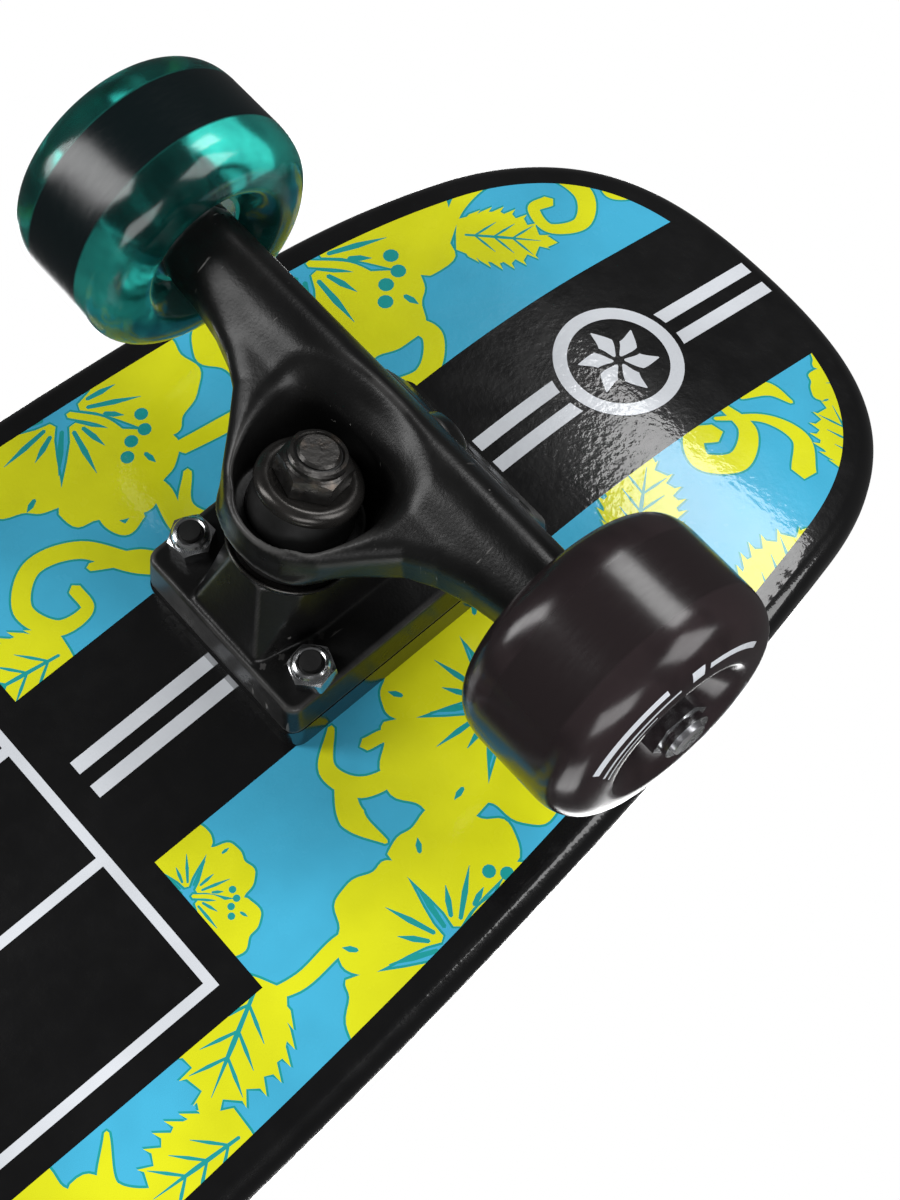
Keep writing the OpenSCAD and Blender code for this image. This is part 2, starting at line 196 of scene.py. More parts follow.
def truck_paint():
    """Satin black paint on a casting, a little chipped and scuffed, its sharp edges painted lighter as a
    painted highlight.
    """
    s = Shade("satin_black_truck_paint")
    chips = s.ramp(s.noise(420, 2, 0.7), 0.745, 0.76)
    streaks = s.ramp(s.noise(90, 2, 0.6, (1, 7, 1)), 0.70, 0.73)
    worn = s.math("MULTIPLY", s.math("MAXIMUM", chips, streaks), s.ramp(s.noise(28, 1), 0.5, 0.58))
    # painted highlight: sharp edges, found by pointiness, are painted a lighter grey in place of the
    # highlight lines along them
    edge = add_node(s.tree, "NewGeometry").outputs["Pointiness"]
    painted_edge_highlight = s.math("MULTIPLY", s.ramp(edge, 0.508, 0.535), s.ramp(s.noise(70, 3), 0.35, 0.6, 0.25, 1.0))
    base = s.mix(s.ramp(s.noise(60, 4), 0.3, 0.7), (0.004, 0.004, 0.0042), (0.008, 0.0079, 0.0077))
    base = s.mix(painted_edge_highlight, base, (0.075, 0.0735, 0.072))
    s.color(s.mix(worn, base, (0.15, 0.145, 0.14)))
    s.rough(s.ramp(s.noise(130, 4), 0.3, 0.7, 0.27, 0.37))
    cast = s.math("ADD", s.noise(1400, 2), s.math("MULTIPLY", s.noise(140, 2), 2.5))
    s.bump(cast, 0.18, 0.0002)
    s.set(Specular_IOR_Level=0.3)
    return s.mat


def finish(name, tone, low, high, gloss, rough, grain, **values):
    """Noise in the colour, in the roughness and in the surface, each with its scale and detail."""
    s = Shade(name)
    scale, detail, near, far = tone
    s.color(s.mix(s.ramp(s.noise(scale, detail), near, far), low, high))
    s.rough(s.ramp(s.noise(*gloss), 0.3, 0.7, *rough))
    scale, detail, strength, distance = grain
    s.bump(s.noise(scale, detail), strength, distance)
    s.set(**values)
    return s.mat


def soft_black(name, low, high, rough):
    return finish(name, (90, 4, 0.3, 0.7), (low,) * 3, (high,) * 3, (300, 3), (rough - 0.06, rough + 0.06),
                  (900, 3, 0.2, 0.0001))


def oxide_steel():
    """Black oxide with brown worn edges, for the kingpin nut and washers."""
    s = Shade("black_oxide_steel")
    rust = s.ramp(s.noise(230, 4, 0.6), 0.55, 0.75)
    dark = s.mix(s.noise(120, 3), (0.03, 0.029, 0.028), (0.07, 0.067, 0.064))
    s.color(s.mix(rust, dark, (0.11, 0.088, 0.072)))
    s.rough(s.ramp(s.noise(400, 4), 0.3, 0.7, 0.24, 0.44))
    s.bump(s.math("ADD", s.noise(900, 3), s.noise(240, 3)), 0.35, 0.00025)
    s.set(Metallic=0.85)
    return s.mat


def grip_grit():
    s = Shade("grip_grit")
    grain = s.noise(1900, 2, 0.75)
    spark = s.ramp(s.cells(1700), 0.0, 0.35)
    s.color(s.mix(s.ramp(grain, 0.35, 0.7), (0.006, 0.006, 0.0065), (0.05, 0.05, 0.052)))
    s.rough(s.ramp(grain, 0.3, 0.7, 0.95, 0.5))
    s.bump(s.math("ADD", grain, spark), 0.8, 0.0004)
    return s.mat


def urethane(name, lip, lip_deep, tread, see_through, lip_rough):
    """Tinted urethane: see-through at the lips; across the tread a painted shade, painted dark for the dark
    core seen through it, less see-through and finely scuffed.
    """
    s = Shade(name)
    away = s.math("ABSOLUTE", s.math("SUBTRACT", s.math("ABSOLUTE", s.axis("Y"), 0.0), WHEEL_Y * MM), 0.0)
    # painted shade: the tread band is painted dark in place of the dark core seen through the urethane; the
    # same band also cuts the see-through and raises the roughness
    band = s.ramp(away, TREAD_W * MM * 0.47, TREAD_W * MM * 0.51, 1.0, 0.0)
    swirl = s.ramp(s.noise(55, 3, 0.6, (1, 0.5, 1)), 0.42, 0.6)
    s.color(s.mix(band, s.mix(swirl, lip, lip_deep), tread))
    s.link(s.ramp(band, 0, 1, see_through, 0.0), s.bsdf.inputs["Transmission Weight"])
    scuff = s.ramp(s.noise(260, 3, 0.6, (1, 6, 1)), 0.3, 0.7, 0.0, 0.07)
    s.rough(s.math("ADD", s.ramp(band, 0, 1, lip_rough, 0.17), scuff))
    s.bump(s.noise(500, 3), 0.05, 0.0001)
    s.set(IOR=1.46)
    return s.mat


INK_BLACK = lacquer("deck_black_lacquer", (0.0045, 0.0045, 0.0048))
INK_CYAN = lacquer("print_cyan", srgb(72, 182, 220))
INK_YELLOW = lacquer("print_yellow", srgb(228, 230, 30))
INK_TEAL = lacquer("print_teal_line", srgb(34, 160, 158))
INK_WHITE = lacquer("print_white", srgb(222, 226, 232))
PAINT = truck_paint()
RISER = finish(
    "gloss_black_riser", (50, 3, 0, 1), (0.005,) * 3, (0.009,) * 3,
    (220, 3), (0.14, 0.24), (500, 2, 0.1, 0.0002), Coat_Weight=0.4, Coat_Roughness=0.08)
URETHANE_BLACK = soft_black("black_bushing_urethane", 0.008, 0.016, 0.42)
SEAL = soft_black("black_bearing_seal", 0.006, 0.012, 0.5)
NYLON = soft_black("black_nylon_insert", 0.006, 0.012, 0.35)
BOLT = soft_black("black_bolt_end", 0.008, 0.02, 0.4)
OXIDE = oxide_steel()
WASHER = finish(
    "black_cup_washer", (150, 4, 0.3, 0.7), (0.03, 0.028, 0.0265), (0.052, 0.049, 0.046),
    (260, 4), (0.2, 0.32), (500, 3, 0.15, 0.0002), Metallic=0.7)
ZINC = finish(
    "bright_zinc", (200, 3, 0, 1), (0.62, 0.63, 0.65), (0.78, 0.79, 0.80),
    (500, 3), (0.12, 0.26), (300, 2, 0.04, 0.0001), Metallic=1.0)
STEEL = finish(
    "ground_steel", (160, 3, 0, 1), (0.5, 0.5, 0.52), (0.66, 0.66, 0.68),
    (160, 2), (0.22, 0.32), (500, 2, 0.04, 0.0001), Metallic=1.0)
GRIT = grip_grit()
# the tread colours passed here are painted shade, darker than the lips
TEAL = urethane("teal_urethane", (0.016, 0.22, 0.185), (0.005, 0.09, 0.08), (0.003, 0.007, 0.008), 0.86, 0.12)
SMOKE = urethane(
    "smoke_urethane", (0.034, 0.024, 0.026), (0.022, 0.0155, 0.017), (0.018, 0.013, 0.014), 0.2, 0.16)


# ------ mesh helpers
def new_mesh(name, verts, faces, mats, face_mats=None, normals=None, sharp=None):
    """An object from vertices in millimetres in the row frame."""
    mesh = bpy.data.meshes.new(name)
    metres = [tuple(float(c) * MM for c in v) for v in verts]
    mesh.from_pydata(metres, [], [tuple(int(i) for i in f) for f in faces])
    for m in mats if isinstance(mats, (list, tuple)) else [mats]:
        mesh.materials.append(m)
    if face_mats is not None:
        mesh.polygons.foreach_set("material_index", np.asarray(face_mats, dtype=np.int32))
    mesh.polygons.foreach_set("use_smooth", np.ones(len(mesh.polygons), dtype=bool))
    mesh.update()
    if sharp is not None:
        face_out(mesh, sharp)
    if normals is not None:
        n = np.asarray(normals, float)
        n /= np.maximum(np.linalg.norm(n, axis=1, keepdims=True), 1e-9)
        mesh.normals_split_custom_set_from_vertices([tuple(v) for v in n])
    obj = bpy.data.objects.new(name, mesh)
    scene.collection.objects.link(obj)
    return obj


def face_out(mesh, degrees):
    """Turns closed shells to face out, and marks the edges that bend by more than this as sharp."""
    bm = bmesh.new()
    bm.from_mesh(mesh)
    bmesh.ops.recalc_face_normals(bm, faces=bm.faces)
    limit = math.radians(degrees)
    for e in bm.edges:
        e.smooth = len(e.link_faces) == 2 and e.calc_face_angle(0) < limit
    bm.to_mesh(mesh)
    bm.free()


def ring_faces(rings, size):
    """Quads round a tube of closed rings, its last ring joined to its first."""
    faces = []
    for i in range(rings):
        j = (i + 1) % rings
        for k in range(size):
            l = (k + 1) % size
            faces.append((i * size + k, j * size + k, j * size + l, i * size + l))
    return faces


def lathe(profile, n):
    """Vertices and faces of a profile of (radius, axial) points turned round +Z."""
    verts = []
    for i in range(n):
        a = 2 * math.pi * i / n
        verts += [(r * math.cos(a), r * math.sin(a), z) for r, z in profile]
    return verts, ring_faces(n, len(profile))


def used_only(verts, faces):
    """The vertices that the faces use, and the faces numbered to match."""
    used = sorted({v for f in faces for v in f})
    remap = {v: i for i, v in enumerate(used)}
    return verts[used], [tuple(remap[v] for v in f) for f in faces]


def turned(name, profile, place, mat, sharp, n=128):
    verts, faces = lathe(profile, n)
    return new_mesh(name, [place(v) for v in verts], faces, mat, sharp=sharp)


def truck_to_row(end):
    """Truck frame (x to the board's end, y, height below the deck) to the row frame."""
    if end == "tail":
        return lambda p: (TAIL_X + p[0], -p[1], DECK_Z - p[2])
    return lambda p: (NOSE_X - p[0], p[1], DECK_Z - p[2])


def on_kingpin(p):
    """Kingpin frame, z along the pin from its seat, to the truck frame."""
    c, s = math.cos(KINGPIN_LEAN), math.sin(KINGPIN_LEAN)
    return (KINGPIN_SEAT[0] + p[0] * c + p[2] * s, p[1], KINGPIN_SEAT[2] - p[0] * s + p[2] * c)


# ------ deck surface
def lift(y):
    out = np.maximum(np.abs(y) - FLAT_HALF, 0)
    return BEND_R - np.sqrt(BEND_R**2 - out**2)


def deck_height(x, y, level):
    """Row-frame height of the deck at plan point x, y, for a level above its underside."""
    x, y = np.asarray(x, float), np.asarray(y, float)
    up = level + lift(y)
    run = np.where(x > 0, x - (TAIL_X + KICK_OFFSET), (NOSE_X - KICK_OFFSET) - x)
    rr = KICK_R - up
    arc = DECK_Z + KICK_R - np.sqrt(np.maximum(rr**2 - np.clip(run, 0, None) ** 2, 1e-6))
    end_run = rr * math.sin(KICK_A)
    straight = DECK_Z + KICK_R - rr * math.cos(KICK_A) + (run - end_run) * math.tan(KICK_A)
    return np.where(run <= 0, DECK_Z + up, np.where(run < end_run, arc, straight))


def underside_normals(x, y):
    d = 0.5
    dx = (deck_height(x + d, y, 0.0) - deck_height(x - d, y, 0.0)) / (2 * d)
    dy = (deck_height(x, y + d, 0.0) - deck_height(x, y - d, 0.0)) / (2 * d)
    return np.stack([dx, dy, -np.ones_like(dx)], 1)


def loop_side(loop):
    """At each point of a closed loop, the unit vector to the left of its direction."""
    along = np.roll(loop, -1, 0) - np.roll(loop, 1, 0)
    along /= np.maximum(np.linalg.norm(along, axis=1, keepdims=True), 1e-6)
    return np.stack([-along[:, 1], along[:, 0]], 1)


def bezier(p, n):
    t = np.linspace(0, 1, n, endpoint=False)[:, None]
    p = np.array(p, float)
    return (1 - t) ** 3 * p[0] + 3 * (1 - t) ** 2 * t * p[1] + 3 * (1 - t) * t * t * p[2] + t**3 * p[3]


def outline(inset):
    """The deck's outline, counter-clockwise from the tail tip."""
    w, e, b = HALF_W, HALF_L, -HALF_L
    dense = 60
    side = np.concatenate([
        bezier([(e, 0), (e, w * 0.33), (e - 6.5, w * 0.618), (e - 47.5, w * 0.723)], dense),
        bezier([(e - 47.5, w * 0.723), (e - 123.6, w * 0.918), (e - 235, w), (10, w)], dense),
        bezier([(10, w), (-110, w), (b + 145, w * 0.99), (b + 66, w * 0.82)], dense),
        bezier([(b + 66, w * 0.82), (b + 22, w * 0.7), (b, w * 0.4), (b, 0)], dense),
        [(b, 0)],
    ])
    loop = np.concatenate([side, side[-2:0:-1] * [1, -1]])
    return loop + inset * loop_side(loop)


def ccw(points):
    p = np.asarray(points, float)
    q = np.roll(p, -1, 0)
    return p if np.sum(p[:, 0] * q[:, 1] - q[:, 0] * p[:, 1]) > 0 else p[::-1]


def winding(poly, pts):
    """How many times a polygon goes round each point."""
    a = np.asarray(poly, float)
    b = np.roll(a, -1, 0)
    px, py = pts[:, 0:1], pts[:, 1:2]
    left = (b[:, 0] - a[:, 0]) * (py - a[:, 1]) - (px - a[:, 0]) * (b[:, 1] - a[:, 1])
    up = (a[:, 1] <= py) & (b[:, 1] > py) & (left > 0)
    down = (a[:, 1] > py) & (b[:, 1] <= py) & (left < 0)
    return up.sum(1) - down.sum(1)


def subdivide(poly, longest):
    """Splits the long sides of a polygon, so that it can follow the bend of the deck."""
    p = np.asarray(poly, float)
    out = []
    for a, b in zip(p, np.roll(p, -1, 0)):
        n = max(1, math.ceil(np.linalg.norm(b - a) / longest))
        out += [a + (b - a) * i / n for i in range(n)]
    return out


def planar(polygons, spacing):
    """Splits overlapping polygons into triangles.

    Returns the points, the triangles, the last polygon that each is in and whether it is in the first one.
    """
    coords, edges = [], []
    for poly in polygons:
        poly = subdivide(poly, spacing)
        first = len(coords)
        coords += [Vector((float(a), float(b))) for a, b in poly]
        edges += [(i, i + 1) for i in range(first, len(coords) - 1)] + [(len(coords) - 1, first)]
    lo = np.min([np.min(p, 0) for p in polygons], 0)
    hi = np.max([np.max(p, 0) for p in polygons], 0)
    for i, gx in enumerate(np.arange(lo[0] + spacing / 2, hi[0], spacing)):
        for gy in np.arange(lo[1] + spacing * (0.5 if i % 2 else 0.98), hi[1], spacing):
            coords.append(Vector((float(gx), float(gy))))
    out = geometry.delaunay_2d_cdt(coords, edges, [], 0, 1e-4, False)
    pts = np.array([tuple(v) for v in out[0]])
    tris = np.array([tuple(t) for t in out[2] if len(t) == 3])
    middle = pts[tris].mean(1)
    a, b, c = pts[tris[:, 0]], pts[tris[:, 1]], pts[tris[:, 2]]
    turn = (b[:, 0] - a[:, 0]) * (c[:, 1] - a[:, 1]) - (c[:, 0] - a[:, 0]) * (b[:, 1] - a[:, 1])
    tris[turn < 0] = tris[turn < 0][:, ::-1]
    owner = np.full(len(tris), -1)
    first = np.zeros(len(tris), bool)
    for rank, poly in enumerate(polygons):
        poly = np.asarray(poly, float)
        lo, hi = poly.min(0), poly.max(0)
        near = np.where(np.all((middle > lo) & (middle < hi), 1) & (np.abs(turn) > 1e-7))[0]
        hit = near[winding(poly, middle[near]) != 0]
        owner[hit] = rank
        if rank == 0:
            first[hit] = True
    return pts, [tuple(int(i) for i in t) for t in tris], owner, first


# ------ printed pattern, from the tail's inner bolts
def polar(cx, cy, r, a):
    return (cx + r * math.cos(a), cy + r * math.sin(a))


def petal(cx, cy, size, direction, seed):
    """One hibiscus petal with a ruffled edge."""
    spread = math.radians(39)
    pts = []
    for r, half in ((0.13, 12), (0.25, 22), (0.4, 30), (0.58, 35), (0.72, 37)):
        pts.append(polar(cx, cy, size * r, direction - math.radians(half)))
    for i in range(33):
        t = -1 + 2 * i / 32
        ruffle = 0.036 * math.sin(7.4 * t + seed) + 0.012 * math.sin(15 * t + 2.1 * seed)
        r = size * (1.0 - 0.2 * abs(t) ** 2.4 + ruffle)
        pts.append(polar(cx, cy, r, direction + spread * t * (1 - 0.06 * t * t)))
    for r, half in ((0.72, 37), (0.58, 35), (0.4, 30), (0.25, 22), (0.13, 12)):
        pts.append(polar(cx, cy, size * r, direction + math.radians(half)))
    return pts


def stroke(points, widths, steps=10):
    """A brush stroke of varying width along a smooth curve."""
    p = np.array(points, float)
    p = np.vstack([2 * p[0] - p[1], p, 2 * p[-1] - p[-2]])
    line = []
    for i in range(1, len(p) - 2):
        for t in np.linspace(0, 1, steps, endpoint=False):
            before, here, after, beyond = p[i - 1], p[i], p[i + 1], p[i + 2]
            square = 2 * before - 5 * here + 4 * after - beyond
            cube = -before + 3 * here - 3 * after + beyond
            line.append(0.5 * ((2 * here) + (-before + after) * t + square * t**2 + cube * t**3))
    line.append(p[-2])
    line = np.array(line)
    w = np.interp(np.linspace(0, 1, len(line)), np.linspace(0, 1, len(widths)), widths) / 2
    tangent = np.gradient(line, axis=0)
    tangent /= np.linalg.norm(tangent, axis=1, keepdims=True)
    side = np.stack([-tangent[:, 1], tangent[:, 0]], 1) * w[:, None]
    cap = [line[-1] + tangent[-1] * w[-1] * 0.8]
    return np.vstack([line + side, cap, (line - side)[::-1], [line[0] - tangent[0] * w[0] * 0.8]])


def leaf(cx, cy, size, degrees):
    """A toothed leaf from its stalk at cx, cy."""
    teeth = 8
    a = math.radians(degrees)
    ca, sa = math.cos(a), math.sin(a)
    half = []
    for i in range(teeth):
        t = (i + 0.5) / teeth
        w = 0.44 * math.sin(math.pi * min(1, t * 0.92 + 0.1)) ** 0.7
        half.append((t - 0.055, w * 0.8))
        half.append((t + 0.065, w))
        half.append((t + 0.03, w * 0.82))
    pts = [(0, 0)] + half + [(1.08, 0)] + [(x, -y) for x, y in half[::-1]]
    return [(cx + size * (x * ca - y * sa), cy + size * (x * sa + y * ca)) for x, y in pts]


def wedge(x0, y0, x1, y1, width):
    """A thin cut, widest near its middle."""
    return stroke([(x0, y0), ((x0 + x1) / 2, (y0 + y1) / 2), (x1, y1)], [width * 0.7, width, 0.15], 5)


def grow(poly, by):
    p = ccw(poly)
    return p - by * loop_side(p)


def hibiscus(cx, cy, size, turn, seed):
    """Petals, and the thin cuts in them."""
    shapes, cuts = [], []
    for k in range(5):
        a = math.radians(turn + 72 * k)
        shapes.append(petal(cx, cy, size * (0.94 + 0.07 * math.sin(seed + 2 * k)), a, seed + k))
        between = (36, 0.15, 0.5) if k else (24, 0.3, 0.44)
        for off, r0, r1 in ((-12, 0.2, 0.42), (8, 0.18, 0.56), between, (-21, 0.7, 0.8)):
            b = a + math.radians(off)
            near, far = polar(cx, cy, size * r0, b), polar(cx, cy, size * r1, b + 0.03)
            cuts.append(wedge(*near, *far, size * 0.045))
    heart = math.radians(turn + 36)
    pistil = [polar(cx, cy, size * r, heart + turn_by) for r, turn_by in ((0.05, 0), (0.3, 0), (0.5, 0.15))]
    shapes.append(stroke(pistil, [size * 0.05, size * 0.06, size * 0.05], 6))
    for k in range(4):
        b = heart + 0.1 + 0.2 * (k - 1.5)
        c = polar(cx, cy, size * (0.56 + 0.05 * (k % 2)), b)
        cuts.append([polar(*c, size * 0.05, 2 * math.pi * i / 12) for i in range(12)])
    return shapes, cuts


def leaf_veins(cx, cy, size, degrees):
    a = math.radians(degrees)
    cuts = [wedge(*polar(cx, cy, size * 0.1, a), *polar(cx, cy, size * 0.9, a), size * 0.04)]
    for k in range(3):
        base = polar(cx, cy, size * (0.2 + 0.2 * k), a)
        for s in (-1, 1):
            cuts.append(wedge(*base, *polar(*base, size * 0.3, a + s * 0.75), size * 0.03))
    return cuts


def end_pattern():
    """Yellow shapes and the cuts in them, at the tail, from the inner bolts."""
    yellow, cuts = [], []

    for flower in (
        (2, -77, 34, 20, 0.4), (70, -70, 39, 12, 1.9), (-13, 82, 31, -50, 2.8), (30, 47, 31, 30, 4.2),
        (57, 78, 17, 5, 2.2), (-50, 36, 17, 8, 5.1), (154, 38, 14, 60, 0.9), (-118, -79, 30, 40, 3.3),
        (-128, 80, 30, 5, 1.2),
    ):
        shapes, thin = hibiscus(*flower)
        yellow += shapes
        cuts += thin
    for blade in (
        (104, -52, 23, 42), (-34, -27, 27, 190), (-50, 60, 30, 152), (-72, 83, 27, 185), (88, 72, 27, -22),
        (78, 40, 24, -40), (137, 58, 22, -70), (-70, -82, 26, 170),
    ):
        yellow.append(leaf(*blade))
        cuts += leaf_veins(*blade)
    curls = (
        (((99, -50), (111, -59), (125, -62), (137, -55), (139, -44), (132, -37), (124, -40), (125, -47),
          (130, -47)), (1, 4, 6.5, 6, 5, 4, 3, 3, 3.5)),
        (((139, -53), (149, -53), (155, -46), (151, -38), (145, -40), (147, -45)), (2, 4, 5, 4, 3, 3.5)),
        (((3, -22), (-9, -33), (-17, -45), (-28, -49), (-36, -42), (-33, -33), (-25, -32), (-24, -38)),
         (5, 5, 4.5, 4.5, 4.5, 4, 3, 3)),
        (((7, -22), (4, -34), (6, -45), (0, -52), (-7, -48), (-6, -42), (-1, -43)),
         (5, 4.5, 5, 4, 3.5, 3, 3)),
        (((0, -22), (-8, -34), (-18, -40)), (4, 4.5, 2)),
        (((14, -24), (8, -36), (14, -44)), (4, 3.5, 2)),
        (((17, -50), (27, -48), (40, -46)), (4, 4.5, 4)),
        (((62, -30), (72, -26), (80, -33), (76, -40), (68, -38)), (2, 5, 5, 4, 2)),
        (((-2, 27), (-9, 34), (-6, 42), (3, 44), (6, 37), (1, 35)), (1.5, 4, 5, 4, 3, 3)),
        (((-8, 38), (-12, 46), (-10, 55)), (4, 6, 1)),
        (((-60, 60), (-45, 66), (-30, 66), (-18, 74)), (1, 3.5, 4, 4)),
        (((121, 24), (121, 33), (113, 38), (106, 33), (109, 27), (114, 29)), (2, 4.5, 5.5, 5, 5, 5)),
        (((117, 26), (127, 33), (130, 42), (124, 49)), (1, 2.5, 4.5, 6)),
        (((128, 23), (134, 27), (136, 33)), (6, 4, 1)),
        (((-90, -66), (-98, -74), (-92, -84)), (1, 5, 2)),
        (((-95, 64), (-102, 74), (-94, 82), (-88, 76)), (1, 5, 5, 2)),
    )
    for line, widths in curls:
        yellow.append(stroke(line, widths))
    return yellow, cuts


def rect(x0, x1, y0, y1):
    return [(x0, y0), (x1, y0), (x1, y1), (x0, y1)]


def keep_in(poly, inset):
    """Points that would pass the deck's edge are pulled back onto an inset outline."""
    loop = outline(inset)
    top = loop[(loop[:, 1] >= 0)]
    order = np.argsort(top[:, 0])
    xs, ys = top[order, 0], top[order, 1]
    p = np.array(poly, float)
    p[:, 0] = np.clip(p[:, 0], xs[0] + 0.4, xs[-1] - 0.4)
    w = np.interp(p[:, 0], xs, ys)
    p[:, 1] = np.clip(p[:, 1], -w, w)
    keep = [0]
    for i in range(1, len(p)):
        if np.linalg.norm(p[i] - p[keep[-1]]) > 0.02:
            keep.append(i)
    return p[keep]


def ring_poly(cx, cy, r, n=64):
    return [polar(cx, cy, r, 2 * math.pi * i / n) for i in range(n)]


def print_layers():
    """(polygon, ink) in paint order. Later layers cover earlier ones."""
    layers = [(outline(8.0), "cyan")]
    tail = lambda pts: [(TAIL_X + x, y) for x, y in pts]
    nose = lambda pts: [(NOSE_X - x, -y) for x, y in pts]
    yellow, cuts = end_pattern()
    for place in (tail, nose):
        grown = [keep_in(place(grow(s, 0.55)), 3.0) for s in yellow]
        layers += [(s, "teal") for s in grown]
        layers += [(keep_in(place(s), 3.4), "yellow") for s in yellow]
        layers += [(keep_in(place(s), 3.4), "teal_cut") for s in cuts]
    block_tail, block_nose = TAIL_X - 50.8, NOSE_X + 50.8
    layers.append((rect(-HALF_L + 5, HALF_L - 5, -25.1, 25.1), "black"))
    layers.append((rect(block_nose, block_tail, -61.9, 61.9), "black"))
    line_tail, line_nose = TAIL_X - 57.4, NOSE_X + 57.4
    layers.append((rect(line_nose, line_tail, -55.4, 55.4), "white"))
    layers.append((rect(line_nose + 2.4, line_tail - 2.4, -52.9, 52.9), "black"))
    for y in (-17.05, 17.05):
        layers.append((rect(line_nose + 1, line_tail - 1, y - 1.25, y + 1.25), "white"))
    for place in (tail, nose):
        for s in (-1, 1):
            near, far = sorted((s * 1.84, s * 5.42))
            layers.append((place(rect(-50.6, 157, near, far)), "white"))
        for r, ink in ((17.4, "black"), (15.8, "white"), (12.4, "black")):
            layers.append((place(ring_poly(EMBLEM_X, 0, r)), ink))
        for k in range(6):
            a = math.radians(60 * k + 30)
            spine = [polar(EMBLEM_X, 0, r, a + turn_by) for r, turn_by in ((1.6, 0), (5.5, 0.12), (9.8, 0))]
            blade = stroke(spine, [0.8, 4.4, 0.4], 8)
            layers.append((place(blade), "white"))
    return layers


# ------ deck, print and grip
def make_deck():
    loop = outline(0.0)
    n = len(loop)
    inward = loop_side(loop)
    quarter = np.linspace(0, math.pi / 2, 9)
    section = [(RIM_R * (1 - math.sin(a)), RIM_R * (1 - math.cos(a))) for a in quarter]
    section += [(RIM_R * (1 - math.cos(a)), DECK_T - RIM_R * (1 - math.sin(a))) for a in quarter]
    verts, faces = [], []
    for inset, level in section:
        p = loop + inward * inset
        z = deck_height(p[:, 0], p[:, 1], level)
        verts += list(np.column_stack([p, z]))
    for k in range(len(section) - 1):
        for i in range(n):
            j = (i + 1) % n
            faces.append((k * n + i, k * n + j, (k + 1) * n + j, (k + 1) * n + i))
    for row, level, flip in ((0, 0.0, True), (len(section) - 1, DECK_T, False)):
        rim = loop + inward * section[row][0]
        pts, tris, owners, _ = planar([rim], 4.0)
        z = deck_height(pts[:, 0], pts[:, 1], level)
        lookup = {(round(a, 3), round(b, 3)): row * n + i for i, (a, b) in enumerate(rim)}
        index = []
        for (a, b), h in zip(pts, z):
            key = (round(a, 3), round(b, 3))
            if key in lookup:
                index.append(lookup[key])
            else:
                index.append(len(verts))
                verts.append((a, b, h))
        for t, owner in zip(tris, owners):
            if owner >= 0:
                f = tuple(index[v] for v in t)
                faces.append(f[::-1] if flip else f)
    deck = new_mesh("deck_laminate", *used_only(np.array(verts), faces), INK_BLACK)
    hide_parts("deck")
    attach(deck, "board")


def make_print():
    layers = print_layers()
    pts, tris, owners, in_panel = planar([p for p, _ in layers], 3.2)
    inks = [ink for _, ink in layers]
    palette = {"cyan": 0, "yellow": 1, "teal": 2, "teal_cut": 2, "white": 3}
    faces, mats = [], []
    for t, owner, inner in zip(tris, owners, in_panel):
        if owner < 0:
            continue
        ink = inks[owner]
        if ink == "black" or (not inner and ink != "white"):
            continue
        faces.append(tuple(t)[::-1])
        mats.append(palette[ink])
    p, faces = used_only(pts, faces)
    z = deck_height(p[:, 0], p[:, 1], 0.0) - PRINT_PROUD
    normals = underside_normals(p[:, 0], p[:, 1])
    colours = [INK_CYAN, INK_YELLOW, INK_TEAL, INK_WHITE]
    ink = new_mesh("printed_panels", np.column_stack([p, z]), faces, colours, mats, normals)
    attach(ink, "board")


def make_grip():
    rim = outline(3.6)
    bolt_rows = [start + x for start in (TAIL_X, NOSE_X - BOLT_X) for x in (0, BOLT_X)]
    holes = [ring_poly(x, y, 4.9, 32) for x in bolt_rows for y in (-BOLT_Y, BOLT_Y)]
    pts, tris, owners, _ = planar([rim] + holes, 5.0)
    top = deck_height(pts[:, 0], pts[:, 1], DECK_T + GRIP_T)
    low = deck_height(pts[:, 0], pts[:, 1], DECK_T) + 0.02
    kept = [t for t, owner in zip(tris, owners) if owner == 0]
    n = len(pts)
    faces = list(kept) + [tuple(v + n for v in t)[::-1] for t in kept]
    seen = {}
    for t in kept:
        for a, b in zip(t, t[1:] + t[:1]):
            seen[(a, b)] = True
    for a, b in seen:
        if (b, a) not in seen:
            faces.append((b, a, a + n, b + n))
    verts = np.vstack([np.column_stack([pts, top]), np.column_stack([pts, low])])
    grip = new_mesh("grip_sheet", *used_only(verts, faces), GRIT, sharp=40)
    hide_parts("grip_tape")
    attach(grip, "board")


# ------ cast parts as blended solids
def smin(a, b, k):
    h = np.clip(0.5 + 0.5 * (b - a) / k, 0, 1)
    return b + (a - b) * h - k * h * (1 - h)


def smax(a, b, k):
    return -smin(-a, -b, k)


